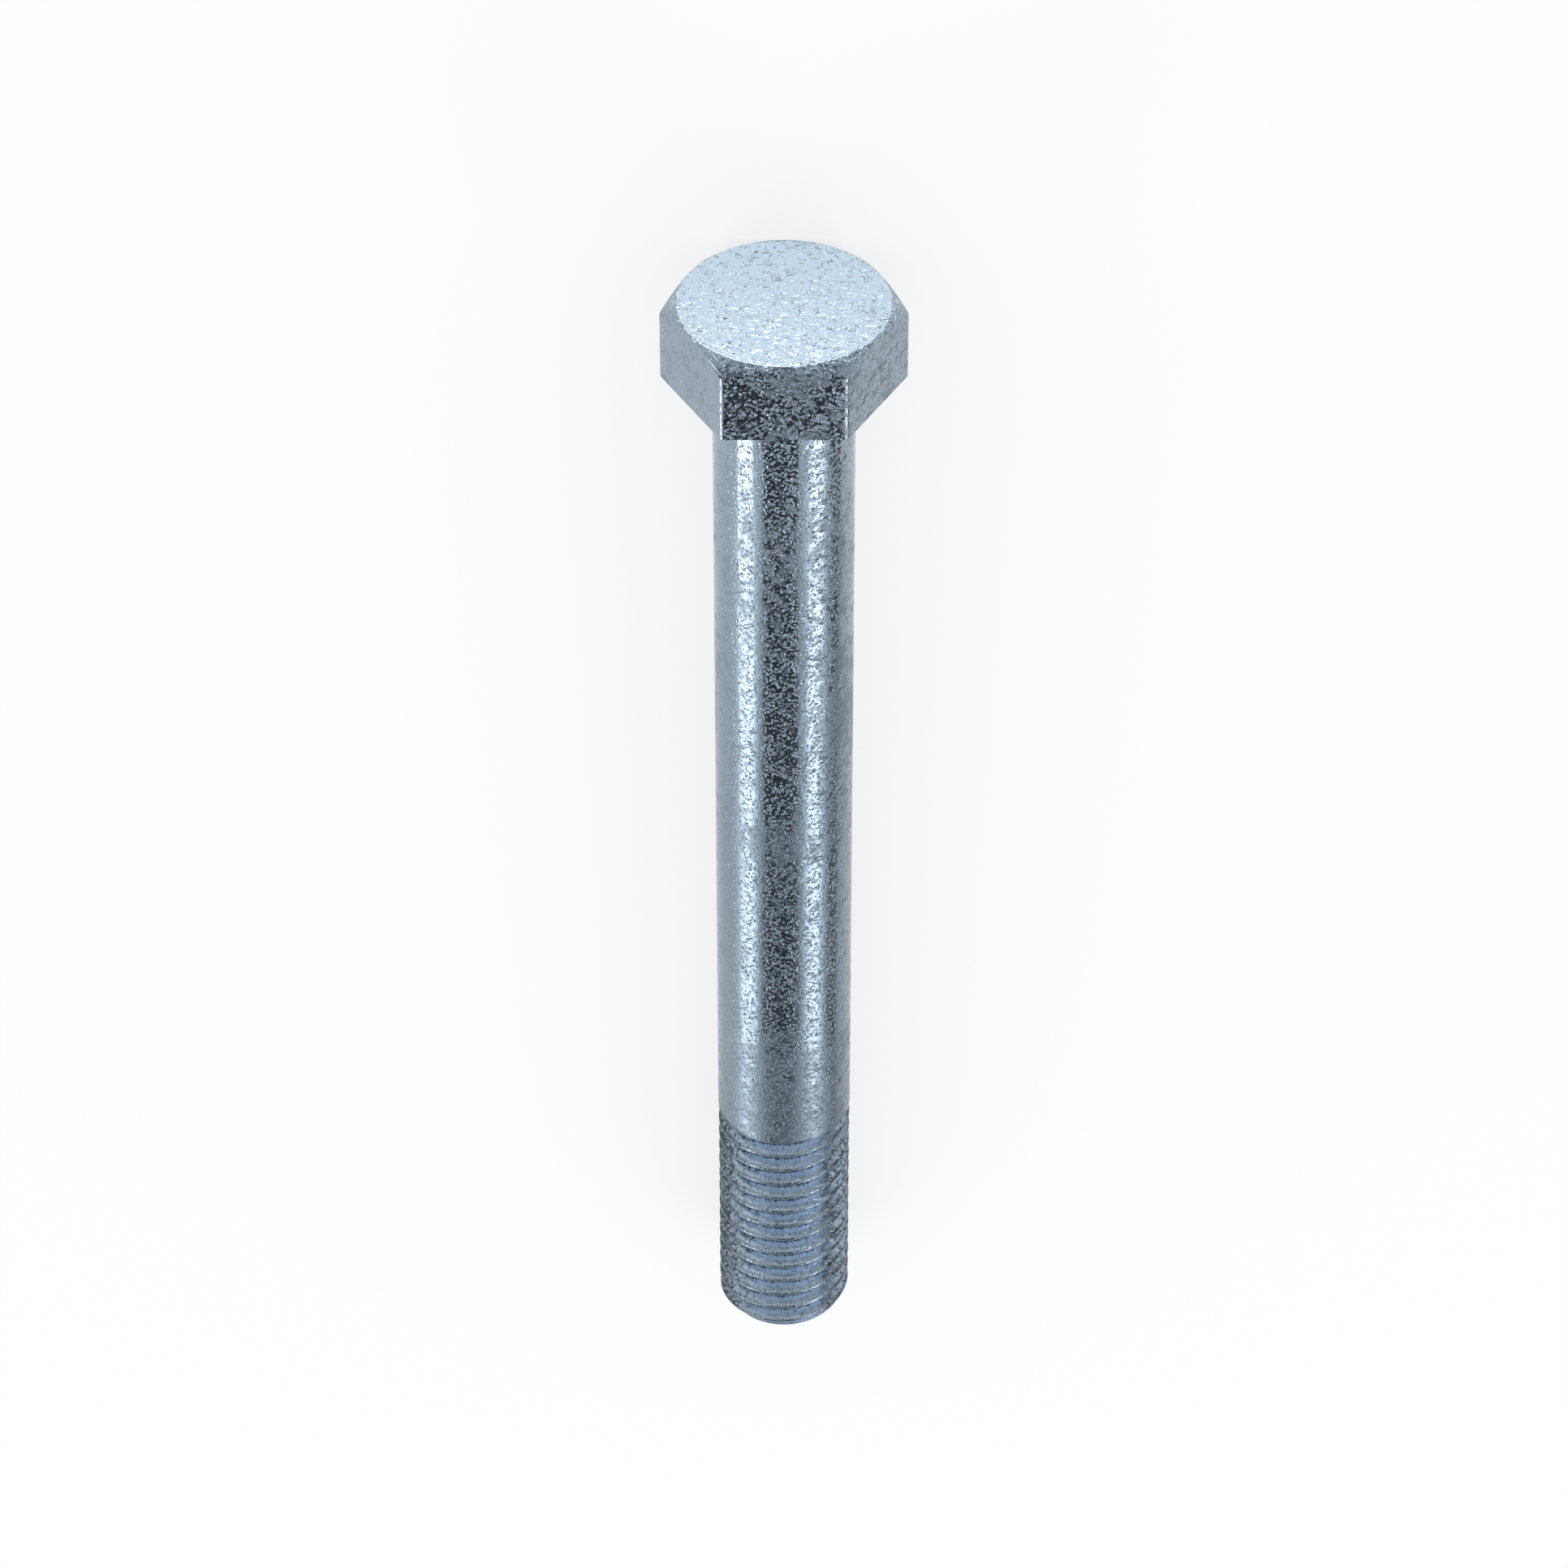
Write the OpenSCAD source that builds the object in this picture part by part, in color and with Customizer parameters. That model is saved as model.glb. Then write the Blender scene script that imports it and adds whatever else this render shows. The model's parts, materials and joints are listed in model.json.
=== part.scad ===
// Hex head cap screw, 5/8 in with 11 threads to the inch, 5 1/2 in long, hot-dip galvanised.
// One forged piece: head, plain shank and rolled thread. It lies as it comes to rest on a level
// surface, one flat of the head down, leaning on the lower edge of that flat and on its thread.
// Millimetres. +X runs towards the tip, +Z is up, and the origin is on the surface, below the middle.

/* [Head] */
// Distance between two opposite flats
across_flats = 23.8125; // [21:0.0625:28]
// Height from the bearing face to the crown
head_h = 10.2; // [8:0.1:14]
// Radius of the corners between the flats
corner_r = 0.7; // [0.1:0.05:1]
// Distance from the middle of a flat in to the rim of the crown
crown_inset = 0.14; // [0.02:0.02:1]
// Slope of the chamfer round the crown
crown_angle = 41; // [20:1:50]
// Thickness of the washer face under the head
washer_face_h = 0.4; // [0.2:0.1:1]
// Distance from a flat in to the rim of the washer face
washer_face_inset = 0.6; // [0.2:0.1:1.5]

/* [Shank] */
// Diameter of the plain shank
shank_d = 15.875; // [14:0.125:19]
// Length from the bearing face to the tip
length = 139.7; // [80:0.1:200]
// Radius of the fillet between bearing face and shank
fillet_r = 0.8; // [0.3:0.1:1.5]

/* [Thread] */
// Length of the thread, back from the tip
thread_len = 31.8; // [20:0.1:50]
// Threads to the inch
threads_per_inch = 11; // [8:1:14]
// Angle between the two flanks of the groove
flank_angle = 60; // [55:1:65]
// How far the crests lie inside the shank's surface
crest_drop = 0.03; // [0.02:0.01:0.3]
// Width of a crest between its two flanks
crest_w = 0.55; // [0.4:0.05:0.7]
// Radius of the two corners of a crest
crest_r = 0.3; // [0.1:0.05:0.4]
// Width of the groove's floor
root_w = 0.29; // [0.15:0.01:0.5]
// Turn of the thread about the axis
thread_turn = 102; // [0:1:359]
// Width of the chamfer on the tip, across the axis
point_inset = 1.2; // [0.4:0.1:1.4]
// Length of the chamfer on the tip, along the axis
point_h = 1.6; // [0.6:0.1:3]

/* [Hidden] */
$fn = 96;

inch = 25.4;
// Steps in one turn of the thread
turn_steps = 40;

flat_r = across_flats / 2;
shank_r = shank_d / 2;
crown_r = flat_r - crown_inset;
thread_r = shank_r - crest_drop;
point_r = thread_r - point_inset;
pitch = inch / threads_per_inch;

// Section of the thread over one pitch, as distances from the middle of a crest and radii
half_angle = flank_angle / 2;
crest_half = crest_w / 2;
root_half = root_w / 2;
root_r = thread_r - (pitch / 2 - root_half - crest_half) / tan(half_angle);
corner_cut = crest_r * tan(45 - half_angle / 2);
flank_top_half = crest_half + corner_cut * sin(half_angle);
flank_top_r = thread_r - corner_cut * cos(half_angle);
section = [
    [-flank_top_half, flank_top_r],
    [corner_cut - crest_half, thread_r],
    [crest_half - corner_cut, thread_r],
    [flank_top_half, flank_top_r],
    [pitch / 2 - root_half, root_r],
    [pitch / 2 + root_half, root_r]
];

// The ridge starts inside the shank and winds past the tip, and the blank cuts it to length
thread_start = length - thread_len;
ridge_start = thread_start - 1.25 * pitch;
blank_start = thread_start - pitch / 8;
turns = ceil((length - ridge_start) / pitch) + 1;

// The last whole crest on the underside, on which the screw leans
first_crest = ridge_start + pitch * (360 - thread_turn) / 360;
crest_room = length - point_h - crest_half - first_crest;
last_crest = first_crest + pitch * floor(crest_room / pitch);

// How far the tip dips, how high the bearing face's middle lies, and the reach to both ends
tilt = atan((flat_r - thread_r) / (last_crest + washer_face_h));
rest_h = flat_r * cos(tilt) - washer_face_h * sin(tilt);
crown_x = head_h * cos(tilt) + crown_r * sin(tilt);
tip_x = length * cos(tilt) + point_r * sin(tilt);

// Regular hexagon with rounded corners, one flat towards -X and one towards +X
module hexagon() {
    core_flat_r = flat_r - corner_r;
    core_corner_r = core_flat_r / cos(30);
    rotate(30) circle(r = core_corner_r, $fn = 6);
    for (turn = [0:60:120])
        rotate(turn) square([across_flats, core_corner_r], center = true);
    for (turn = [30:60:330])
        rotate(turn) translate([core_corner_r, 0]) circle(r = corner_r);
}

// Head above its underside, with the corners of its crown turned down to a circle
module head() {
    cone_h = (across_flats - crown_r) * tan(crown_angle);
    translate([0, 0, -head_h])
        intersection() {
            linear_extrude(height = head_h - washer_face_h) hexagon();
            rotate_extrude()
                polygon([
                    [0, 0],
                    [crown_r, 0],
                    [across_flats, cone_h],
                    [across_flats, cone_h + head_h],
                    [0, cone_h + head_h]
                ]);
        }
}

// Washer face, and the fillet that runs from it into the shank
module washer_face() {
    fillet_out = shank_r + fillet_r;
    translate([0, 0, -washer_face_h])
        cylinder(h = washer_face_h, r = flat_r - washer_face_inset);
    rotate_extrude()
        difference() {
            translate([0, -washer_face_h / 2])
                square([fillet_out, fillet_r + washer_face_h / 2]);
            translate([fillet_out, fillet_r]) circle(r = fillet_r);
        }
}

// Plain shank, rooted in the middle of the head
module shank() {
    translate([0, 0, -head_h / 2])
        cylinder(h = head_h / 2 + thread_start, r = shank_r);
}

// Core and ridge of the thread in one skin that winds up the axis, with a ramp at each end
module ridge() {
    m = len(section);
    steps = turns * turn_steps;
    skin = [
        for (i = [0:steps], point = section)
            let (angle = 360 * i / turn_steps + thread_turn)
                [
                    point[1] * cos(angle),
                    point[1] * sin(angle),
                    ridge_start + pitch * i / turn_steps + point[0]
                ]
    ];
    foot = len(skin);
    top = foot + 1;
    centres = [
        [0, 0, ridge_start + pitch / 2],
        [0, 0, ridge_start + pitch * (turns - 1 / 2)]
    ];
    strips = [
        for (i = [0:steps - 1], j = [0:m - 1])
            let (a = m * i + j, b = j < m - 1 ? a + 1 : m * (i + turn_steps))
                if (j < m - 1 || i < steps - turn_steps)
                    each [[a, b, a + m], [b, b + m, a + m]]
    ];
    foot_rim = [
        for (i = [0:turn_steps]) m * i,
        for (j = [m - 1:-1:1]) j
    ];
    top_rim = [
        for (j = [0:m - 1]) m * steps + j,
        for (i = [1:turn_steps]) m * (steps - i) + m - 1
    ];
    ramps = [
        for (k = [0:len(foot_rim) - 1]) [foot, foot_rim[k], foot_rim[(k + 1) % len(foot_rim)]],
        for (k = [0:len(top_rim) - 1]) [top, top_rim[k], top_rim[(k + 1) % len(top_rim)]]
    ];
    polyhedron(concat(skin, centres), concat(strips, ramps));
}

// Thread cut to length from its blank, with the chamfer on the tip
module thread() {
    cone_h = point_h / point_inset * (shank_r - point_r);
    intersection() {
        ridge();
        rotate_extrude()
            polygon([
                [0, blank_start],
                [shank_r, blank_start],
                [shank_r, length - cone_h],
                [point_r, length],
                [0, length]
            ]);
    }
}

// The whole screw about its own axis, bearing face at 0 and tip towards +Z
module screw() {
    head();
    washer_face();
    shank();
    thread();
}

module cap_screw() {
    color("#9fb0bd")
        translate([(crown_x - tip_x) / 2, 0, rest_h])
            rotate([0, 90 + tilt, 0])
                screw();
}

cap_screw();
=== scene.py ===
# %% [markdown]
# A hex head cap screw is one piece of steel: a forged head, a plain shank and a rolled thread.
# It is dipped in molten zinc, which leaves a bluish skin full of small pits and lumps.
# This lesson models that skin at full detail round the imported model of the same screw. The model
# is loaded first and stays as it is: it fixes where the screw lies and how large it may be.

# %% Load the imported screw
import json
import math

import bmesh
import bpy
from mathutils import Matrix, Vector, noise


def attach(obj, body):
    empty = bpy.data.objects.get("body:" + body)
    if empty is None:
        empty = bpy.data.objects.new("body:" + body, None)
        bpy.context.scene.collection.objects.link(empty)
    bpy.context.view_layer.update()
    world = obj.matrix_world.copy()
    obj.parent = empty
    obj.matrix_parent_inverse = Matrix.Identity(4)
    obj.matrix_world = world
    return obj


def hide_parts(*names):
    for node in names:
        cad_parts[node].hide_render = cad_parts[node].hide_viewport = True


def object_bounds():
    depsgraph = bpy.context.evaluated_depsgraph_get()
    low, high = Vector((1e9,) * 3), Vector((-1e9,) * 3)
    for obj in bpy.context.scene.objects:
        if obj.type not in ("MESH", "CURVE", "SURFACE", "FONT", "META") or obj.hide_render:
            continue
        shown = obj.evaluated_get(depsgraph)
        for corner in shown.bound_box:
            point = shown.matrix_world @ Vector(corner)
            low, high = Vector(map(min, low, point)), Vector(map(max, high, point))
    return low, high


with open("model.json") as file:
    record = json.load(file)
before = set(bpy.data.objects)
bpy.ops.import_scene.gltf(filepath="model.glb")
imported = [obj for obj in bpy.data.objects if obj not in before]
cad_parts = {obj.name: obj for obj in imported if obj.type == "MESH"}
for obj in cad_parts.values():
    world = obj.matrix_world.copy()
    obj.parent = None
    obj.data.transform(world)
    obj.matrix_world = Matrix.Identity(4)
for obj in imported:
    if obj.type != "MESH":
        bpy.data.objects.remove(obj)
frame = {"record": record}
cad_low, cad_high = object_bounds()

MM = 1000  # millimetres in a metre
print("the screw fills", [round(MM * side, 2) for side in cad_high - cad_low], "mm")

# %% [markdown]
# The record gives the places where the screw meets other parts. Two of them fix its frame: the
# middle of the bearing face, and the direction from there to the tip. The axis dips a little,
# because the screw leans on the edge of its head and on its thread.

# %% Find the axis
mounts = {mount["name"]: mount for mount in frame["record"]["mounts"]}
bearing = Vector(mounts["bearing_face"]["pos_m"])
tipward = Vector(mounts["bearing_face"]["axis"]).normalized()
across = Vector((0, 1, 0))
upward = tipward.cross(across).normalized()
print("the axis dips", round(math.degrees(math.asin(-tipward.z)), 2), "degrees")

# %% [markdown]
# The photograph looks along the screw from its head, well above the upper flat, with a long lens.
# The camera is placed in the screw's own directions, so that the head comes to the top of the
# picture and the tip to the bottom. The angle, the distance and the lens were fitted to corners
# of the head and to the outline of the shank and the thread.

# %% Place the camera
CAMERA_LIFT = math.radians(40.087)
CAMERA_DISTANCE = 0.748605
CAMERA_AIM = 0.058361
CAMERA_LENS = 148.47

aim = bearing + CAMERA_AIM * tipward
towards_camera = math.cos(CAMERA_LIFT) * upward - math.sin(CAMERA_LIFT) * tipward
picture_up = towards_camera.cross(across)
camera = bpy.data.objects.new("camera", bpy.data.cameras.new("camera"))
camera.data.lens = CAMERA_LENS
camera_turn = Matrix((across, picture_up, towards_camera)).transposed().to_4x4()
camera_place = aim + CAMERA_DISTANCE * towards_camera
camera.matrix_world = Matrix.Translation(camera_place) @ camera_turn
bpy.context.scene.collection.objects.link(camera)
bpy.context.scene.camera = camera
print("the camera stands", round(camera_place.z, 3), "m above the floor")

# %% [markdown]
# The screw is modelled upright and in millimetres. Its axis is Z, the bearing face is at zero, the
# head hangs below it and the tip is up. These are the sizes of a 5/8 inch screw with 11 threads to
# the inch. Only at the end is it scaled to metres and laid in its place.

# %% Sizes in millimetres
across_flats = 23.8125
flat_r = across_flats / 2
head_h = 10.2
corner_r = 0.7
crown_inset = 0.14
crown_r = flat_r - crown_inset
crown_slope = math.tan(math.radians(41))
washer_face_h = 0.4
washer_face_inset = 0.6
washer_face_r = flat_r - washer_face_inset
fillet_r = 0.8
shank_r = mounts["shank"]["dims"]["r_mm"]
length = 139.7
thread_r = mounts["thread"]["dims"]["r_mm"]
thread_start = length - mounts["thread"]["dims"]["length_mm"]
pitch = 25.4 / 11
point_h = 1.6
point_inset = 1.2
point_r = thread_r - point_inset
print("the thread has", round((length - thread_start) / pitch, 1), "turns")

# %% [markdown]
# The head starts as its own outline, seen along the axis. A circle of six segments is a regular
# hexagon. A vertex bevel rounds its corners, and its sides are cut into short steps, because the
# zinc skin will need points to move. The face is dropped, so that only the rim is left.

# %% Outline of the hexagon
STEPS_PER_FLAT = 26
STEPS_PER_CORNER = 6
HALF_SIXTH = math.radians(30)

screw = bmesh.new()
hexagon_corner_r = flat_r / math.cos(HALF_SIXTH)
bmesh.ops.create_circle(screw, cap_ends=True, radius=hexagon_corner_r, segments=6)
bmesh.ops.bevel(
    screw,
    geom=screw.verts[:],
    offset=corner_r * math.tan(HALF_SIXTH),
    offset_type="OFFSET",
    segments=STEPS_PER_CORNER,
    profile=0.5,
    affect="VERTICES",
    material=-1,
)
sides = [edge for edge in screw.edges if edge.calc_length() > corner_r]
bmesh.ops.subdivide_edges(screw, edges=sides, cuts=STEPS_PER_FLAT - 1)
bmesh.ops.delete(screw, geom=screw.faces[:], context="FACES_ONLY")
outline = screw.edges[:]
print("the outline has", len(screw.verts), "points")

# %% [markdown]
# A turned or forged form can be walked along its profile: the rim is extruded, each new point is
# moved to its place, and the new rim is the start of the next step. This helper takes a number of
# equal steps towards the place that a rule gives for each point.

# %% Walk a rim along the profile
def on_ring(radius, height):
    """Rule that keeps a point's direction from the axis and gives it a radius and a height."""
    return lambda co: co.xy.normalized().to_3d() * radius + Vector((0, 0, height))


def walk(bm, rim, steps, rule):
    """Extrudes the rim in equal steps until each point is where the rule puts it."""
    for steps_left in range(steps, 0, -1):
        made = bmesh.ops.extrude_edge_only(bm, edges=rim)["geom"]
        rim = [part for part in made if isinstance(part, bmesh.types.BMEdge) and part.is_boundary]
        for vert in {vert for edge in rim for vert in edge.verts}:
            vert.co += (rule(vert.co) - vert.co) / steps_left
    return rim


def chamfer_edge(co):
    """Where the chamfer of the crown meets the side of the head at a point of the outline."""
    drop = (co.xy.length - crown_r) * crown_slope
    return Vector((co.x, co.y, drop - head_h))


# %% [markdown]
# A cone cuts the corners off the crown. Where a cone meets a flat, the edge is a hyperbola: it
# lies nearest the crown in the middle of the flat and farthest from it at the corners. The outline
# is moved onto that curve first. One walk goes from there along the cone to the round rim, and the
# rim is filled with a grid, which has no pole in the middle of the crown. Zinc softens the rim, so
# the walk rounds it: each row says how far outside the rim a walk ends and how far off the crown.

# %% Chamfer and crown
RIM_ROUNDING = ((0.06, 0.052), (0.0, 0.014), (-0.12, 0.0))
RIM_STEPS = 2

for vert in screw.verts:
    vert.co = chamfer_edge(vert.co)
rim = outline
for outward, off_face in RIM_ROUNDING:
    rim = walk(screw, rim, RIM_STEPS, on_ring(crown_r + outward, off_face - head_h))
print("the chamfer ends in a rim of", len(rim), "edges")

quarter = len(rim) // 4


def turn_of(edge):
    """Angle of an edge's middle round the axis, from 0 to a full turn."""
    middle = (edge.verts[0].co + edge.verts[1].co) / 2
    return math.atan2(middle.y, middle.x) % (2 * math.pi)


ordered = sorted(rim, key=turn_of)
rails = ordered[:quarter] + ordered[2 * quarter : 3 * quarter]
filled = bmesh.ops.grid_fill(screw, edges=rails, use_interp_simple=False)
print("the crown has", len(filled["faces"]), "faces")

# %% [markdown]
# The other walk goes along the six flats, in under the head, over the thin washer face that the
# head seats on, and through the fillet into the shank. The fillet is a quarter of a circle, so
# its steps follow that arc.

# %% Flats, washer face and fillet
FLAT_STEPS = 21
UNDERCUT_STEPS = 3
BEARING_STEPS = 6
FILLET_STEPS = 5


def foot_of_flat(co):
    """Where a point of the outline lies at the lower edge of its flat."""
    return Vector((co.x, co.y, -washer_face_h))


rim = walk(screw, outline, FLAT_STEPS, foot_of_flat)
rim = walk(screw, rim, UNDERCUT_STEPS, on_ring(washer_face_r, -washer_face_h))
rim = walk(screw, rim, 1, on_ring(washer_face_r, 0))
rim = walk(screw, rim, BEARING_STEPS, on_ring(shank_r + fillet_r, 0))
for step in range(1, FILLET_STEPS + 1):
    angle = math.radians(90) * step / FILLET_STEPS
    radius = shank_r + fillet_r * (1 - math.sin(angle))
    rim = walk(screw, rim, 1, on_ring(radius, fillet_r * (1 - math.cos(angle))))
print("head and fillet have", len(screw.faces), "faces")

# %% [markdown]
# The plain shank is one long step. Its faces are then cut into rings, which is much quicker than
# walking them. A ring is about as wide as its points are apart, so that lumps come out round.

# %% Shank
SHANK_STEP = 0.38

walk(screw, rim, 1, on_ring(shank_r, thread_start))
long_edges = [edge for edge in screw.edges if edge.calc_length() > thread_start / 2]
rings = round((thread_start - fillet_r) / SHANK_STEP)
bmesh.ops.subdivide_edges(screw, edges=long_edges, cuts=rings - 1)
print("the shank has", rings, "rings")

# %% [markdown]
# A rolled thread is one groove wound round the bar. Its section over one pitch is a short line:
# half the floor of the groove, a flank, the crest, the other flank and the other half of the
# floor. Spin turns that line round the axis and lifts it at each step, which gives one turn. Every
# other turn is a copy of it, a pitch further on. Where one turn ends the next begins, so merging
# the doubles closes the skin.

# %% Wind the thread
TURN_STEPS = 96
FLANK_CUTS = 3
CREST_CUTS = 1
LEAD_IN_TURNS = 1.25
THREAD_TURN = math.radians(102)
MERGED = 0.001

crest_half = 0.55 / 2
root_half = 0.29 / 2
flank_tan = math.tan(math.radians(30))
root_r = thread_r - (pitch / 2 - root_half - crest_half) / flank_tan
ridge_start = thread_start - LEAD_IN_TURNS * pitch

thread = bmesh.new()
section = [
    (root_r, -pitch / 2),
    (root_r, root_half - pitch / 2),
    (thread_r, -crest_half),
    (thread_r, crest_half),
    (root_r, pitch / 2 - root_half),
    (root_r, pitch / 2),
]
line = [thread.verts.new((radius, 0, height)) for radius, height in section]
edges = [thread.edges.new(pair) for pair in zip(line, line[1:])]
_, flank, crest, other_flank, _ = edges
bmesh.ops.subdivide_edges(thread, edges=[flank, other_flank], cuts=FLANK_CUTS)
bmesh.ops.subdivide_edges(thread, edges=[crest], cuts=CREST_CUTS)
placing = Matrix.Translation((0, 0, ridge_start)) @ Matrix.Rotation(THREAD_TURN, 4, "Z")
bmesh.ops.transform(thread, matrix=placing, verts=thread.verts[:])
bmesh.ops.spin(
    thread,
    geom=thread.verts[:] + thread.edges[:],
    cent=(0, 0, 0),
    axis=(0, 0, 1),
    dvec=(0, 0, pitch / TURN_STEPS),
    angle=2 * math.pi,
    steps=TURN_STEPS,
    use_merge=False,
    use_duplicate=False,
)
one_turn = thread.verts[:] + thread.edges[:] + thread.faces[:]
turns = math.ceil((length - ridge_start) / pitch) + 1
for turns_on in range(1, turns):
    copied = bmesh.ops.duplicate(thread, geom=one_turn)["geom"]
    copied_points = [part for part in copied if isinstance(part, bmesh.types.BMVert)]
    bmesh.ops.translate(thread, verts=copied_points, vec=(0, 0, pitch * turns_on))
bmesh.ops.remove_doubles(thread, verts=thread.verts[:], dist=MERGED)
bmesh.ops.recalc_face_normals(thread, faces=thread.faces[:])
print("the wound line has", len(thread.faces), "faces")

# %% [markdown]
# A rolled crest is never sharp. The folds along the crest and along the floor are the only sharp
# ones on the skin, so their angle finds them, and an edge bevel rounds them.

# %% Round the crest and the floor
FOLD = math.radians(40)
CREST_ROUNDING = 0.17
FLOOR_ROUNDING = 0.07

middle_r = (root_r + thread_r) / 2
folds = [edge for edge in thread.edges if not edge.is_boundary and edge.calc_face_angle() > FOLD]
crests = [edge for edge in folds if edge.verts[0].co.xy.length > middle_r]
floors = [edge for edge in folds if edge.verts[0].co.xy.length < middle_r]
for chain, offset, segments in ((crests, CREST_ROUNDING, 3), (floors, FLOOR_ROUNDING, 2)):
    bmesh.ops.bevel(
        thread,
        geom=chain,
        offset=offset,
        offset_type="OFFSET",
        segments=segments,
        profile=0.5,
        affect="EDGES",
        material=-1,
    )
print("with rounded edges it has", len(thread.faces), "faces")

# %% [markdown]
# The skin is longer than the thread, so two planes cut it to length. More cuts near the tip give
# points for its chamfer, which then presses every point that lies outside a cone onto that cone.

# %% Cut the thread and point its tip
POINT_CUTS = 8
IN_PLANE = 0.0001

bmesh.ops.bisect_plane(
    thread,
    geom=thread.verts[:] + thread.edges[:] + thread.faces[:],
    dist=IN_PLANE,
    plane_co=(0, 0, thread_start),
    plane_no=(0, 0, -1),
    clear_outer=True,
)
for cut in range(POINT_CUTS + 1):
    bmesh.ops.bisect_plane(
        thread,
        geom=thread.verts[:] + thread.edges[:] + thread.faces[:],
        dist=IN_PLANE,
        plane_co=(0, 0, length - point_h * (1 - cut / POINT_CUTS)),
        plane_no=(0, 0, 1),
        clear_outer=cut == POINT_CUTS,
    )
for vert in thread.verts:
    cone_r = point_r + (length - vert.co.z) * (thread_r - point_r) / point_h
    if vert.co.xy.length > cone_r:
        vert.co.xy *= cone_r / vert.co.xy.length
print("the thread runs from", round(min(v.co.z for v in thread.verts), 2), "to", length, "mm")

# %% [markdown]
# The thread joins the screw in one mesh. The end of the shank and the first cut of the thread are
# two rims in one plane, a narrow step apart, so they are bridged. The tip is closed by a walk to
# its middle. A closed skin has no open edge left, and the print proves it.

# %% Join shank and thread, close the tip
TIP_STEPS = 12

wound = bpy.data.meshes.new("wound")
thread.to_mesh(wound)
thread.free()
screw.from_mesh(wound)
bpy.data.meshes.remove(wound)


def open_rim(height):
    """Open edges that lie in the plane at a height."""
    return [
        edge
        for edge in screw.edges
        if edge.is_boundary and all(abs(vert.co.z - height) < MERGED for vert in edge.verts)
    ]


bmesh.ops.bridge_loops(screw, edges=open_rim(thread_start))
walk(screw, open_rim(length), TIP_STEPS, on_ring(0, length))
bmesh.ops.remove_doubles(screw, verts=screw.verts[:], dist=MERGED / 2)
bmesh.ops.recalc_face_normals(screw, faces=screw.faces[:])
open_edges = sum(not edge.is_manifold for edge in screw.edges)
print("the closed skin has", len(screw.faces), "faces and", open_edges, "open edges")

# %% [markdown]
# The material will need to know the groove from the crest, so each point carries that as a number:
# 0 on the shank and the crests, 1 on the floor of the groove. The cone and the flat end of the tip
# are no groove, so there the depth is counted from the cone.

# %% Mark the groove
END_FACE = 0.01

point_slope = point_inset / point_h
groove_depth = screw.verts.layers.float.new("groove")
for vert in screw.verts:
    if thread_start < vert.co.z < length - END_FACE:
        up_the_cone = max(0, vert.co.z - (length - point_h))
        below_crest = thread_r - point_slope * up_the_cone - vert.co.xy.length
        vert[groove_depth] = min(1, max(0, below_crest / (thread_r - root_r)))
print(sum(vert[groove_depth] > 0.9 for vert in screw.verts), "points lie on the groove's floor")

# %% [markdown]
# Zinc doesn't lie flat. As it drains it leaves low lumps a millimetre or two wide, and ash and
# acid leave dents. These are real dips in the mesh, a few hundredths of a millimetre deep. Every
# move goes inwards, so the screw stays inside its own size. A row of lumps gives their width and
# their height in millimetres, and a dent reaches over a share of the spacing.

# %% Lumps and dents
LUMPS = ((2.4, 0.010), (1.2, 0.010))
DENT_SPACING = 1.5
DENT_REACH = 0.3
DENT_DEPTH = 0.035


def dip(point):
    """Depth of the skin below its nominal surface, in millimetres."""
    depth = sum(height for _, height in LUMPS)
    for width, height in LUMPS:
        depth -= height * noise.noise(point / width)
    nearest = noise.voronoi(point / DENT_SPACING)[0][0]
    return max(0, depth + DENT_DEPTH * max(0, 1 - nearest / DENT_REACH) ** 2)


screw.normal_update()
moves = [(vert, vert.normal * -dip(vert.co)) for vert in screw.verts]
for vert, move in moves:
    vert.co += move
deepest = max(move.length for _, move in moves)
print("the deepest dip is", round(deepest, 3), "mm")

# %% [markdown]
# The finished skin is scaled to metres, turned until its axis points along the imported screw's
# axis, and moved to the bearing face. All of that goes into the mesh itself, and the object stays
# at the origin. Faces are smooth, apart from folds sharper than 35 degrees.

# %% Lay the screw in its place
SHARP = math.radians(35)

lean = Matrix.Rotation(math.atan2(tipward.x, tipward.z), 4, "Y")
bmesh.ops.transform(
    screw,
    matrix=Matrix.Translation(bearing) @ lean @ Matrix.Scale(1 / MM, 4),
    verts=screw.verts[:],
)
mesh = bpy.data.meshes.new("galvanised_screw")
screw.to_mesh(mesh)
screw.free()
mesh.shade_smooth()
mesh.set_sharp_from_angle(angle=SHARP)
galvanised_screw = bpy.data.objects.new("galvanised_screw", mesh)
bpy.context.scene.collection.objects.link(galvanised_screw)
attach(galvanised_screw, "root")
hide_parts("cap_screw")
mesh.calc_loop_triangles()
print("the screw has", len(mesh.loop_triangles), "triangles")

# %% [markdown]
# Colours are written as sRGB hex values, as a paint chart gives them. Shaders work with linear
# light, so one function converts them. A second one adds a node, with its settings and links.

# %% Helpers for materials
def linear(hex_colour):
    """Linear RGBA of an sRGB hex colour."""
    channels = [int(hex_colour[i : i + 2], 16) / 255 for i in (1, 3, 5)]
    light = [c / 12.92 if c <= 0.04045 else ((c + 0.055) / 1.055) ** 2.4 for c in channels]
    return (*light, 1)


def add_node(tree, kind, settings=None, inputs=None):
    """Adds a node. An input is a number, a colour or another node's output, which is linked."""
    node = tree.nodes.new(kind)
    for name, value in (settings or {}).items():
        setattr(node, name, value)
    for name, value in (inputs or {}).items():
        if isinstance(value, bpy.types.NodeSocket):
            tree.links.new(value, node.inputs[name])
        else:
            node.inputs[name].default_value = value
    return node


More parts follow.
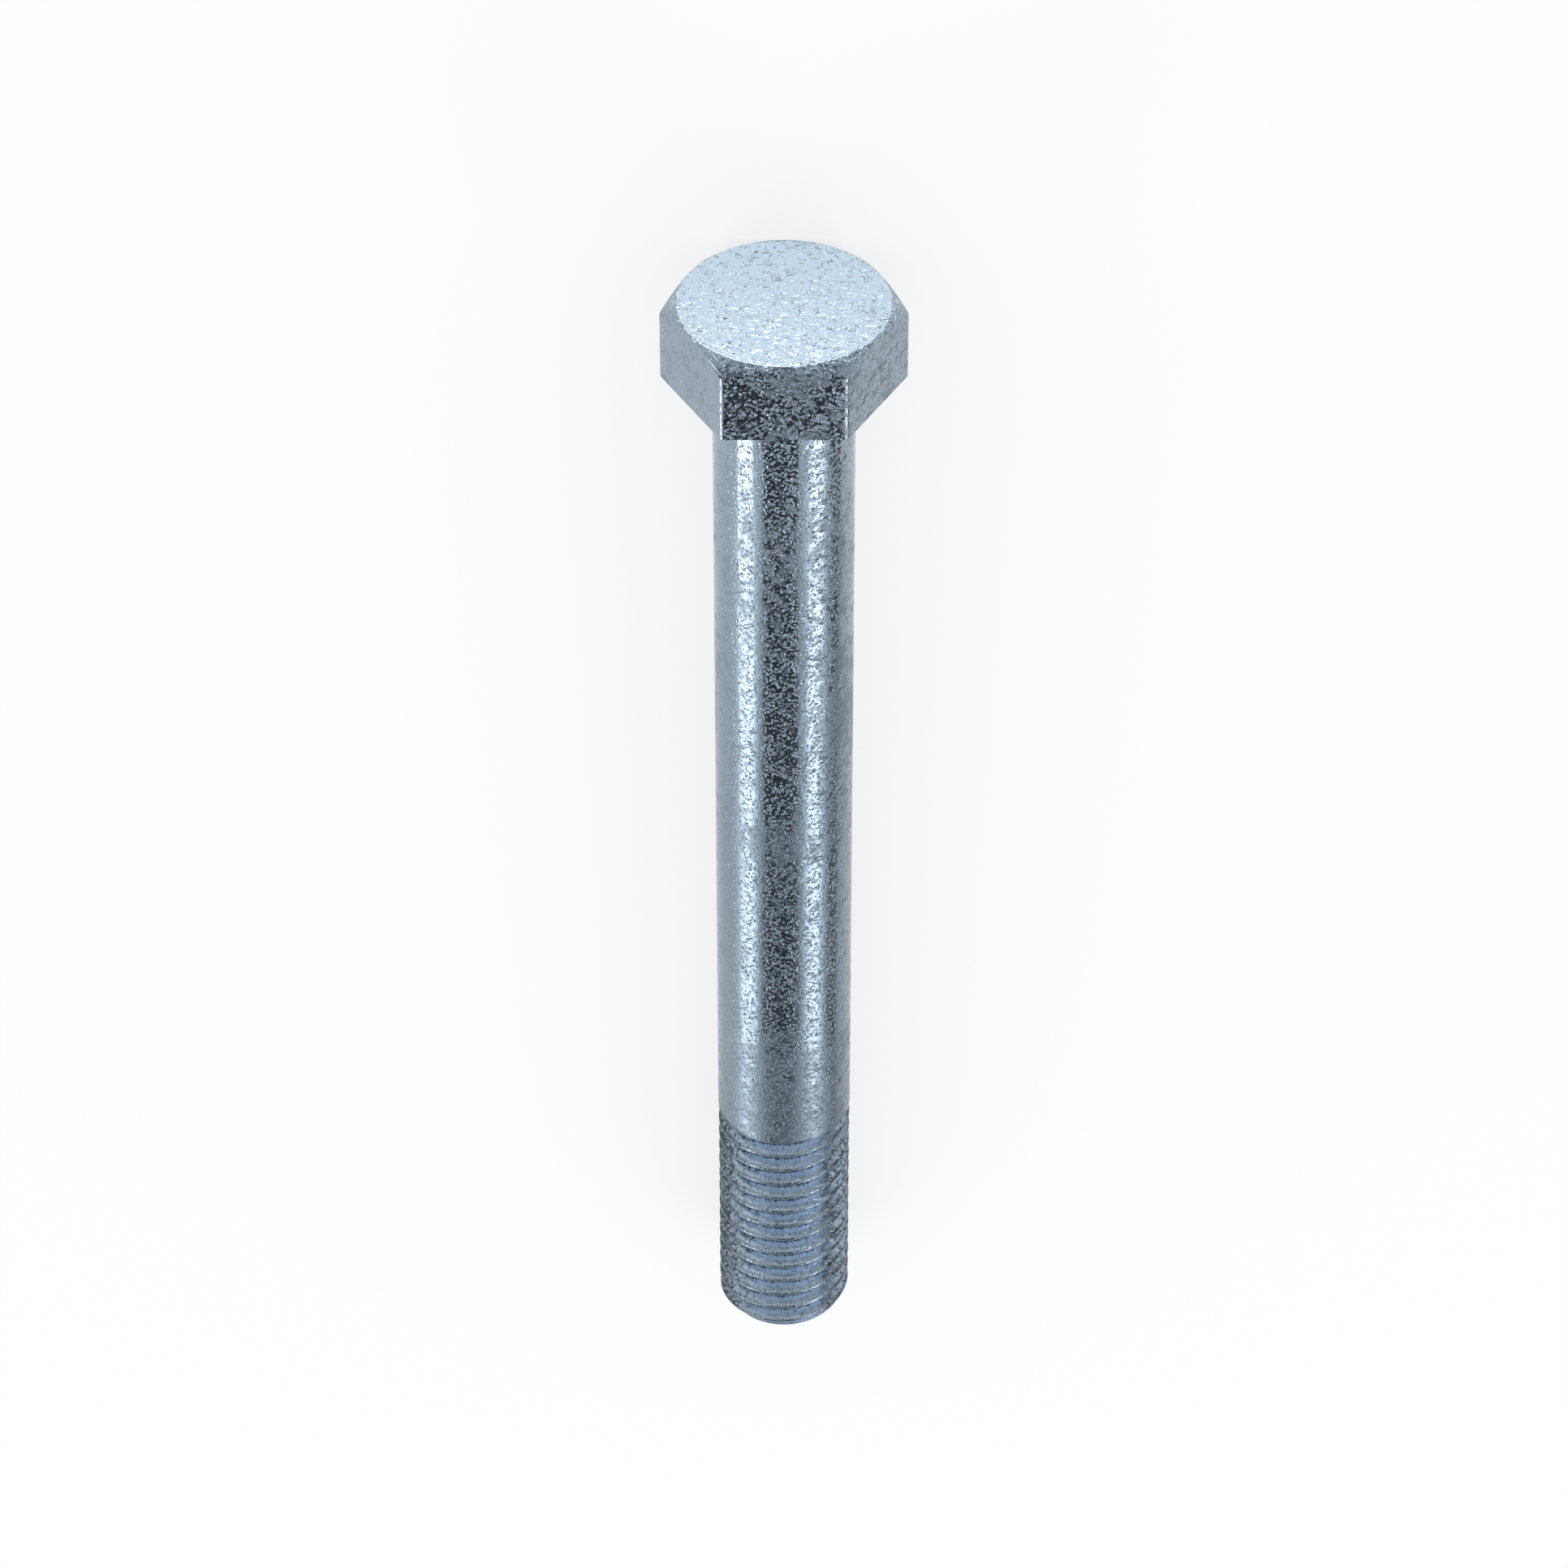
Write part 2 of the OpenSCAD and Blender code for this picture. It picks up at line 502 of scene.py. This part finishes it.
# %% [markdown]
# Hot-dip galvanised steel shows zinc: a bare metal, so metallic is 1 and its colour is that of
# its reflections, a cool grey-blue. The pattern is set in millimetres: object coordinates are
# metres, so they are multiplied by a thousand.

# %% Galvanised steel
steel = bpy.data.materials.new("hot_dip_galvanised_steel")
steel.use_nodes = True
tree = steel.node_tree
tree.nodes.clear()
output = add_node(tree, "ShaderNodeOutputMaterial")
object_place = add_node(tree, "ShaderNodeTexCoord").outputs["Object"]
point_mm = add_node(
    tree, "ShaderNodeMapping", {}, {"Vector": object_place, "Scale": (MM, MM, MM)}
).outputs["Vector"]

# %% [markdown]
# Some marks belong to one part of the screw only, so masks tell where a point lies. The first is 1
# on the face of the crown. The next two grow from the left to the right. The last ones fall to
# nothing on the crown and to little in the groove of the thread. Places are in millimetres.

# %% Masks
CROWN_X = MM * cad_low.x
LEFT_SHARE = 0.65
GROOVE_SHARE = 0.15

axes = add_node(tree, "ShaderNodeSeparateXYZ", {}, {"Vector": point_mm})
along = axes.outputs["X"]
sideways = axes.outputs["Y"]
crown = add_node(
    tree,
    "ShaderNodeMapRange",
    {},
    {"Value": along, "From Min": CROWN_X + 1.6, "From Max": CROWN_X + 0.8},
).outputs["Result"]
right = add_node(
    tree, "ShaderNodeMapRange", {}, {"Value": sideways, "From Min": -1.0, "From Max": 4.0}
).outputs["Result"]
off_left = add_node(
    tree,
    "ShaderNodeMapRange",
    {},
    {"Value": sideways, "From Min": -6.5, "From Max": -2.5, "To Min": LEFT_SHARE},
).outputs["Result"]
off_crown = add_node(
    tree, "ShaderNodeMapRange", {}, {"Value": crown, "To Min": 1.0, "To Max": 0.0}
).outputs["Result"]
in_groove = add_node(tree, "ShaderNodeAttribute", {"attribute_name": "groove"}).outputs["Fac"]
off_groove = add_node(
    tree,
    "ShaderNodeMapRange",
    {},
    {"Value": in_groove, "From Max": 0.3, "To Min": 1.0, "To Max": GROOVE_SHARE},
).outputs["Result"]

# %% [markdown]
# Fresh zinc is bright. In patches a millimetre or two wide it has gone dull, which shows as a
# rougher and greyer skin. A wide noise decides where such patches crowd and a narrow one draws
# them. On this screw some stretches are duller or brighter than others. Each row gives the middle
# of one along X and Y and its half length and half width, in millimetres, and what it adds. What
# it adds fades from near its middle to half as far again as its edge.

# %% Where the zinc is dull
CROWD_MM = 9
CROWD_SHARE = 0.5
PATCH_MM = 1.2
STRETCHES = (
    ((-72.0, 0.8), (2.4, 3.4), 0.20),
    ((-59.0, 0.0), (7.0, 12.0), -0.06),
    ((-43.0, 1.0), (5.0, 7.0), 0.12),
    ((-24.0, 5.5), (13.0, 3.8), 0.18),
    ((-20.0, -0.5), (15.0, 4.0), -0.12),
    ((-3.0, 0.0), (3.0, 7.0), 0.18),
    ((14.0, 0.0), (12.0, 12.0), -0.06),
    ((38.0, -0.5), (11.0, 8.0), 0.22),
)
crowding = add_node(
    tree, "ShaderNodeTexNoise", {}, {"Vector": point_mm, "Scale": 1 / CROWD_MM, "Detail": 1.0}
).outputs["Fac"]
patches = add_node(
    tree,
    "ShaderNodeTexNoise",
    {},
    {"Vector": point_mm, "Scale": 1 / PATCH_MM, "Detail": 3.0, "Roughness": 0.6},
).outputs["Fac"]
dullness = add_node(
    tree,
    "ShaderNodeMath",
    {"operation": "MULTIPLY_ADD"},
    {0: crowding, 1: CROWD_SHARE, 2: patches},
).outputs[0]
for (x_mm, y_mm), (half_length, half_width), more in STRETCHES:
    from_middle = add_node(
        tree,
        "ShaderNodeVectorMath",
        {"operation": "SUBTRACT"},
        {0: point_mm, 1: (x_mm, y_mm, 0)},
    ).outputs["Vector"]
    spread = add_node(
        tree,
        "ShaderNodeVectorMath",
        {"operation": "MULTIPLY"},
        {0: from_middle, 1: (1 / half_length, 1 / half_width, 0)},
    ).outputs["Vector"]
    reach = add_node(
        tree, "ShaderNodeVectorMath", {"operation": "LENGTH"}, {0: spread}
    ).outputs["Value"]
    added = add_node(
        tree,
        "ShaderNodeMapRange",
        {"interpolation_type": "SMOOTHSTEP"},
        {"Value": reach, "From Min": 0.1, "From Max": 1.5, "To Min": more, "To Max": 0.0},
    ).outputs["Result"]
    dullness = add_node(
        tree, "ShaderNodeMath", {"operation": "ADD"}, {0: dullness, 1: added}
    ).outputs[0]

# %% [markdown]
# Bright zinc mirrors the lamps in sharp bands, and dull zinc spreads them to a grey sheen, so it
# is rougher and greyer. Bright zinc also grows darker and rougher as it weathers, and towards the
# thread this screw has weathered more.

# %% Bright and dull zinc
BRIGHT_ZINC = "#91A1AF"
DULL_ZINC = "#8997A4"
WEATHERED_ZINC = "#6F7D8A"
WEATHERED_SHARE = 0.50
BRIGHT_ROUGHNESS = 0.11
WEATHERED_ROUGHNESS = 0.20
DULL_ROUGHNESS = 0.41
THREAD_X = MM * bearing.x + thread_start * tipward.x

ageing = add_node(
    tree,
    "ShaderNodeMapRange",
    {"interpolation_type": "SMOOTHSTEP"},
    {"Value": along, "From Min": THREAD_X - 112, "From Max": THREAD_X - 36},
).outputs["Result"]
dull = add_node(
    tree,
    "ShaderNodeMapRange",
    {"interpolation_type": "SMOOTHSTEP"},
    {"Value": dullness, "From Min": 0.70, "From Max": 0.97, "To Max": off_crown},
).outputs["Result"]
undulled_roughness = add_node(
    tree,
    "ShaderNodeMapRange",
    {},
    {"Value": ageing, "To Min": BRIGHT_ROUGHNESS, "To Max": WEATHERED_ROUGHNESS},
).outputs["Result"]
roughness = add_node(
    tree,
    "ShaderNodeMapRange",
    {},
    {"Value": dull, "To Min": undulled_roughness, "To Max": DULL_ROUGHNESS},
).outputs["Result"]
colour = add_node(
    tree,
    "ShaderNodeMix",
    {"data_type": "RGBA"},
    {0: dull, 6: linear(BRIGHT_ZINC), 7: linear(DULL_ZINC)},
).outputs[2]
weathered = add_node(
    tree, "ShaderNodeMath", {"operation": "MULTIPLY"}, {0: ageing, 1: WEATHERED_SHARE}
).outputs[0]
colour = add_node(
    tree,
    "ShaderNodeMix",
    {"data_type": "RGBA"},
    {0: weathered, 6: colour, 7: linear(WEATHERED_ZINC)},
).outputs[2]

# %% [markdown]
# Bright zinc is grainy. The grain is a little lower in dull zinc, and it is lower on the left and
# in the groove too.

# %% Where the grain lies
DULL_GRAIN = 0.75

grained = add_node(
    tree, "ShaderNodeMapRange", {}, {"Value": dull, "To Min": 1.0, "To Max": DULL_GRAIN}
).outputs["Result"]
for mask in (off_left, off_groove):
    grained = add_node(
        tree, "ShaderNodeMath", {"operation": "MULTIPLY"}, {0: grained, 1: mask}
    ).outputs[0]

# %% [markdown]
# The fine relief is too small for the mesh, so it is bump. Heights are in millimetres, and the
# bump distance of a millimetre keeps them true. Pits are left where gas or flux burst through the
# zinc. They sit in the middles of Voronoi cells, in a coarse and a fine set. Each row gives the
# cell's size, the share of it that the pit takes, its depth and a shift that sets the two apart.

# %% Pits
PITS = ((0.85, 0.25, 0.085, 0.0), (0.55, 0.26, 0.040, 7.3))

relief = 0.0
for cell_mm, reach, depth_mm, shift in PITS:
    shifted = add_node(
        tree, "ShaderNodeVectorMath", {"operation": "ADD"}, {0: point_mm, 1: (shift, shift, shift)}
    ).outputs[0]
    distance = add_node(
        tree, "ShaderNodeTexVoronoi", {}, {"Vector": shifted, "Scale": 1 / cell_mm}
    ).outputs["Distance"]
    pit = add_node(
        tree,
        "ShaderNodeMapRange",
        {"interpolation_type": "SMOOTHSTEP"},
        {"Value": distance, "From Max": reach, "To Min": -depth_mm, "To Max": 0.0},
    ).outputs["Result"]
    relief = add_node(
        tree, "ShaderNodeMath", {"operation": "MULTIPLY_ADD"}, {0: pit, 1: off_groove, 2: relief}
    ).outputs[0]

# %% [markdown]
# The other marks come from noise: only where it falls under a threshold is the skin lower. Noise
# that is short along one direction gives lines across that direction. Each row gives the turn of
# that direction, the size of the noise along X, Y and Z in millimetres, the threshold, the depth
# and where the marks lie. The rows are grain, ripples on the crown, beads on the crown, which are
# raised, dents across the right of the shank, and two sets of slanted scratches. Real scratches
# are finer than a fifth of a millimetre, and are drawn as coarse as the picture can show.

# %% Grain, ripples, dents and scratches
DEEPEST_AT = 0.2
MARKS = (
    (0, (0.37, 0.37, 0.37), 0.45, 0.068, grained),
    (0, (2.40, 1.30, 1.10), 0.50, 0.180, crown),
    (25, (0.90, 0.80, 0.80), 0.42, -0.190, crown),
    (6, (0.65, 2.40, 2.40), 0.42, 0.100, right),
    (-38, (0.24, 4.00, 4.00), 0.33, 0.060, off_groove),
    (30, (0.24, 5.00, 5.00), 0.32, 0.060, off_groove),
)
for turn_deg, sizes_mm, threshold, depth_mm, where in MARKS:
    turned = add_node(
        tree,
        "ShaderNodeMapping",
        {},
        {"Vector": point_mm, "Rotation": (0, 0, math.radians(turn_deg))},
    ).outputs["Vector"]
    stretched = add_node(
        tree,
        "ShaderNodeMapping",
        {},
        {"Vector": turned, "Scale": tuple(1 / size for size in sizes_mm)},
    ).outputs["Vector"]
    rolling = add_node(
        tree, "ShaderNodeTexNoise", {}, {"Vector": stretched, "Scale": 1.0, "Detail": 1.0}
    ).outputs["Fac"]
    mark = add_node(
        tree,
        "ShaderNodeMapRange",
        {},
        {
            "Value": rolling,
            "From Min": DEEPEST_AT,
            "From Max": threshold,
            "To Min": -depth_mm,
            "To Max": 0.0,
        },
    ).outputs["Result"]
    relief = add_node(
        tree, "ShaderNodeMath", {"operation": "MULTIPLY_ADD"}, {0: mark, 1: where, 2: relief}
    ).outputs[0]

# %% [markdown]
# The flanks of the groove are painted brighter and bluer, as a painted reflection of bluish light.
# The groove is found by the number that its points carry.

# %% Painted reflection on the flanks
FLANK_REFLECTION_BLUE = "#B8CBDF"

# The groove gets a painted reflection: a brighter, bluer colour.
flank_reflection = add_node(tree, "ShaderNodeMapRange", {}, {"Value": in_groove, "From Max": 0.2}).outputs[0]
colour = add_node(
    tree, "ShaderNodeMix", {"data_type": "RGBA"}, {0: flank_reflection, 6: colour, 7: linear(FLANK_REFLECTION_BLUE)}
).outputs[2]

# %% [markdown]
# The floor of the groove is painted dark, as painted shade where the groove shades itself. Added
# to the depth of the groove, a mottle makes the edge of the painted shade ragged.

# %% Painted shade on the floor of the groove
MOTTLE_MM = 0.5
RAGGEDNESS = 0.6
FLOOR_SHARE = 0.9

mottle = add_node(
    tree,
    "ShaderNodeTexNoise",
    {},
    {"Vector": point_mm, "Scale": 1 / MOTTLE_MM, "Detail": 4.0, "Roughness": 0.8},
).outputs["Fac"]
ragged_depth = add_node(
    tree,
    "ShaderNodeMath",
    {"operation": "MULTIPLY_ADD"},
    {0: mottle, 1: RAGGEDNESS, 2: in_groove},
).outputs[0]
# Painted shade along the floor of the groove.
groove_floor_shade = add_node(
    tree,
    "ShaderNodeMapRange",
    {},
    {"Value": ragged_depth, "From Min": 1.04, "From Max": 1.20, "To Max": FLOOR_SHARE},
).outputs["Result"]

# %% [markdown]
# Painted shade darkens the two sides of the thread as an even film. Dark spots lie all over the
# thread, and they crowd on the sides as more painted shade. The strip between the sides has its
# middle a little to the right.

# %% Painted shade and spots on the sides of the thread
STRIP_MIDDLE = 0.8
SPOT_CROWDING = 0.12
SPOT_SHARE = 0.70
SHADE_FILM_SHARE = 0.45

off_strip = add_node(
    tree, "ShaderNodeMath", {"operation": "SUBTRACT"}, {0: sideways, 1: STRIP_MIDDLE}
).outputs[0]
off_strip = add_node(tree, "ShaderNodeMath", {"operation": "ABSOLUTE"}, {0: off_strip}).outputs[0]
on_side = add_node(
    tree, "ShaderNodeMapRange", {}, {"Value": off_strip, "From Min": 3.6, "From Max": 8.0}
).outputs["Result"]
crowded_mottle = add_node(
    tree,
    "ShaderNodeMath",
    {"operation": "MULTIPLY_ADD"},
    {0: on_side, 1: SPOT_CROWDING, 2: mottle},
).outputs[0]
spots = add_node(
    tree,
    "ShaderNodeMapRange",
    {"interpolation_type": "SMOOTHSTEP"},
    {"Value": crowded_mottle, "From Min": 0.50, "From Max": 0.70, "To Max": SPOT_SHARE},
).outputs["Result"]
# Painted shade as a film on the sides, plus the dark spots.
side_shade_and_spots = add_node(
    tree, "ShaderNodeMath", {"operation": "MULTIPLY_ADD"}, {0: on_side, 1: SHADE_FILM_SHARE, 2: spots}
).outputs[0]

# %% [markdown]
# The painted shade of the sides ends with the thread. Both kinds of painted shade are added up and
# mixed over the zinc.

# %% Lay the painted shade on the zinc
PAINTED_SHADE_GREY = "#434C55"

on_thread = add_node(
    tree,
    "ShaderNodeMapRange",
    {},
    {"Value": along, "From Min": THREAD_X - 0.3, "From Max": THREAD_X + 0.3},
).outputs["Result"]
painted_shade = add_node(
    tree,
    "ShaderNodeMath",
    {"operation": "MULTIPLY_ADD", "use_clamp": True},
    {0: side_shade_and_spots, 1: on_thread, 2: groove_floor_shade},
).outputs[0]
# The painted shade of the groove floor and the thread's sides is mixed over the zinc.
colour = add_node(
    tree, "ShaderNodeMix", {"data_type": "RGBA"}, {0: painted_shade, 6: colour, 7: linear(PAINTED_SHADE_GREY)}
).outputs[2]

# %% [markdown]
# The deepest parts of the relief are painted darker, as painted shade in the hollows together with
# the ash and grease that stay there. On the crown they are less dark.

# %% Painted shade and ash in the hollows
ASH_AND_HOLLOW_SHADE = "#5A6672"
HOLLOW_FROM_MM = 0.060
HOLLOW_TO_MM = 0.11
HOLLOW_SHARE = 0.75
CROWN_SHARE = 0.2

most = add_node(
    tree, "ShaderNodeMapRange", {}, {"Value": crown, "To Min": HOLLOW_SHARE, "To Max": CROWN_SHARE}
).outputs["Result"]
hollow_shade_and_ash = add_node(
    tree,
    "ShaderNodeMapRange",
    {},
    {"Value": relief, "From Min": -HOLLOW_FROM_MM, "From Max": -HOLLOW_TO_MM, "To Max": most},
).outputs["Result"]
# Painted shade and ash are mixed into the hollows.
colour = add_node(
    tree, "ShaderNodeMix", {"data_type": "RGBA"}, {0: hollow_shade_and_ash, 6: colour, 7: linear(ASH_AND_HOLLOW_SHADE)}
).outputs[2]

# %% [markdown]
# Colour, roughness and relief meet in the Principled shader, which stands for bare metal here.

# %% Put the finish together
bump = add_node(
    tree, "ShaderNodeBump", {}, {"Strength": 1.0, "Distance": 1 / MM, "Height": relief}
).outputs["Normal"]
shader = add_node(
    tree,
    "ShaderNodeBsdfPrincipled",
    {},
    {"Base Color": colour, "Metallic": 1.0, "Roughness": roughness, "Normal": bump},
)
tree.links.new(shader.outputs["BSDF"], output.inputs["Surface"])
mesh.materials.append(steel)
print("the finish has", len(tree.nodes), "nodes")

# %% [markdown]
# The floor is a sheet of pale matt paper. Lit paper alone comes out a little grey, so to the
# camera and to the metal's reflections most of it glows white. The rest is lit paper, which keeps
# the screw's shadow.

# %% Floor
FLOOR_HALF = 6.0
PAPER = "#FBFBFB"
PAPER_ROUGHNESS = 0.9
GLOWING_SHARE = 0.72

sheet = bmesh.new()
bmesh.ops.create_grid(sheet, x_segments=1, y_segments=1, size=FLOOR_HALF)
floor_mesh = bpy.data.meshes.new("paper_floor")
sheet.to_mesh(floor_mesh)
sheet.free()
floor = bpy.data.objects.new("paper_floor", floor_mesh)
bpy.context.scene.collection.objects.link(floor)
paper = bpy.data.materials.new("matt_white_paper")
paper.use_nodes = True
paper_shader = paper.node_tree.nodes["Principled BSDF"]
paper_shader.inputs["Base Color"].default_value = linear(PAPER)
paper_shader.inputs["Roughness"].default_value = PAPER_ROUGHNESS
paper_shader.inputs["Specular IOR Level"].default_value = 0.0
paper_tree = paper.node_tree
ray = add_node(paper_tree, "ShaderNodeLightPath")
seen = ray.outputs["Is Camera Ray"]
for kind in ("Is Glossy Ray", "Is Transmission Ray"):
    seen = add_node(
        paper_tree, "ShaderNodeMath", {"operation": "MAXIMUM"}, {0: seen, 1: ray.outputs[kind]}
    ).outputs[0]
glowing = add_node(
    paper_tree, "ShaderNodeMath", {"operation": "MULTIPLY"}, {0: seen, 1: GLOWING_SHARE}
).outputs[0]
white = add_node(paper_tree, "ShaderNodeEmission", {}, {"Strength": 1.0}).outputs[0]
seen_paper = add_node(
    paper_tree, "ShaderNodeMixShader", {}, {0: glowing, 1: paper_shader.outputs[0], 2: white}
).outputs[0]
paper_tree.links.new(seen_paper, paper_tree.nodes["Material Output"].inputs["Surface"])
floor_mesh.materials.append(paper)
print("the floor reaches", FLOOR_HALF, "m to each side")

# %% [markdown]
# The room round the floor is plain white, and its soft light comes from all sides.

# %% Room
ROOM_BRIGHTNESS = 0.9

room = bpy.data.worlds.new("white_room")
bpy.context.scene.world = room
room.use_nodes = True
background = room.node_tree.nodes["Background"]
background.inputs["Color"].default_value = linear("#FFFFFF")
background.inputs["Strength"].default_value = ROOM_BRIGHTNESS
print("the room has a brightness of", ROOM_BRIGHTNESS)

# %% [markdown]
# Two softboxes stand beyond the tip, left and right, and draw the bright bands on the shank. A
# softbox is an area lamp turned to the screw. Each has a place, a width and a height in metres and
# the brightness that it shows in a mirror. Its power is pi times its area times that.

# %% Softboxes
SOFTBOXES = {
    "softbox_left": ((0.92, -1.03, 0.46), 0.60, 0.58, 3.1),
    "softbox_right": ((0.95, 0.92, 0.66), 0.70, 0.50, 3.0),
}
for name, (place, width, height, brightness) in SOFTBOXES.items():
    lamp = bpy.data.lights.new(name, "AREA")
    lamp.shape = "RECTANGLE"
    lamp.size = width
    lamp.size_y = height
    lamp.energy = math.pi * width * height * brightness
    softbox = bpy.data.objects.new(name, lamp)
    softbox.location = place
    softbox.rotation_euler = Vector(place).to_track_quat("Z", "Y").to_euler()
    bpy.context.scene.collection.objects.link(softbox)
    print(name, "has", round(lamp.energy, 2), "W")

# %% [markdown]
# Metal shows what stands round it more than the light that falls on it, so a product photographer
# adds cards. A dark one beyond the tip, high up, gives the dark band between the bright ones. Two
# bright ones lie on the floor before the head: the crown mirrors the near one, and the slopes of
# its marks catch the far one as glints. A dark one behind the camera darkens the chamfer. One
# stands along the right of the shank and draws its dark edge. Each row gives a card's place, the
# way it faces, its width and height in metres and its brightness. Only reflections show them, so
# they stand in no one's way.

# %% Cards
CARDS = {
    "dark_card": ((0.77, -0.10, 0.78), (0.70, 0.0, 0.71), 0.95, 0.58, 0.06),
    "crown_card": ((-0.0862, 0.0, 0.0003), (0.0, 0.0, 1.0), 0.0217, 0.040, 1.90),
    "glint_card": ((-0.1120, 0.0, 0.0003), (0.0, 0.0, 1.0), 0.0280, 0.060, 4.9),
    "back_card": ((-0.95, 0.0, 0.40), (-1.0, 0.0, 0.0), 1.8, 0.34, 0.25),
    "edge_card": ((0.05, 0.06, 0.012), (0.0, 1.0, 0.0), 0.30, 0.03, 0.15),
}
for name, (place, facing, width, height, brightness) in CARDS.items():
    towards = Vector(facing).to_track_quat("Z", "Y").to_matrix().to_4x4()
    stretch = Matrix.Diagonal((width, height, 1, 1))
    card = bmesh.new()
    bmesh.ops.create_grid(
        card,
        x_segments=1,
        y_segments=1,
        size=0.5,
        matrix=Matrix.Translation(place) @ towards @ stretch,
    )
    card_mesh = bpy.data.meshes.new(name)
    card.to_mesh(card_mesh)
    card.free()
    card_object = bpy.data.objects.new(name, card_mesh)
    bpy.context.scene.collection.objects.link(card_object)
    card_object.visible_camera = False
    card_object.visible_diffuse = False
    card_object.visible_shadow = False
    board = bpy.data.materials.new(name)
    board.use_nodes = True
    board.node_tree.nodes.clear()
    glow = add_node(board.node_tree, "ShaderNodeEmission", {}, {"Strength": brightness})
    surface = add_node(board.node_tree, "ShaderNodeOutputMaterial")
    board.node_tree.links.new(glow.outputs[0], surface.inputs["Surface"])
    card_mesh.materials.append(board)
    print(name, "glows at", brightness)

# %% [markdown]
# The picture is shown as the light is, with no film look.

# %% Finish
bpy.context.scene.view_settings.view_transform = "Standard"
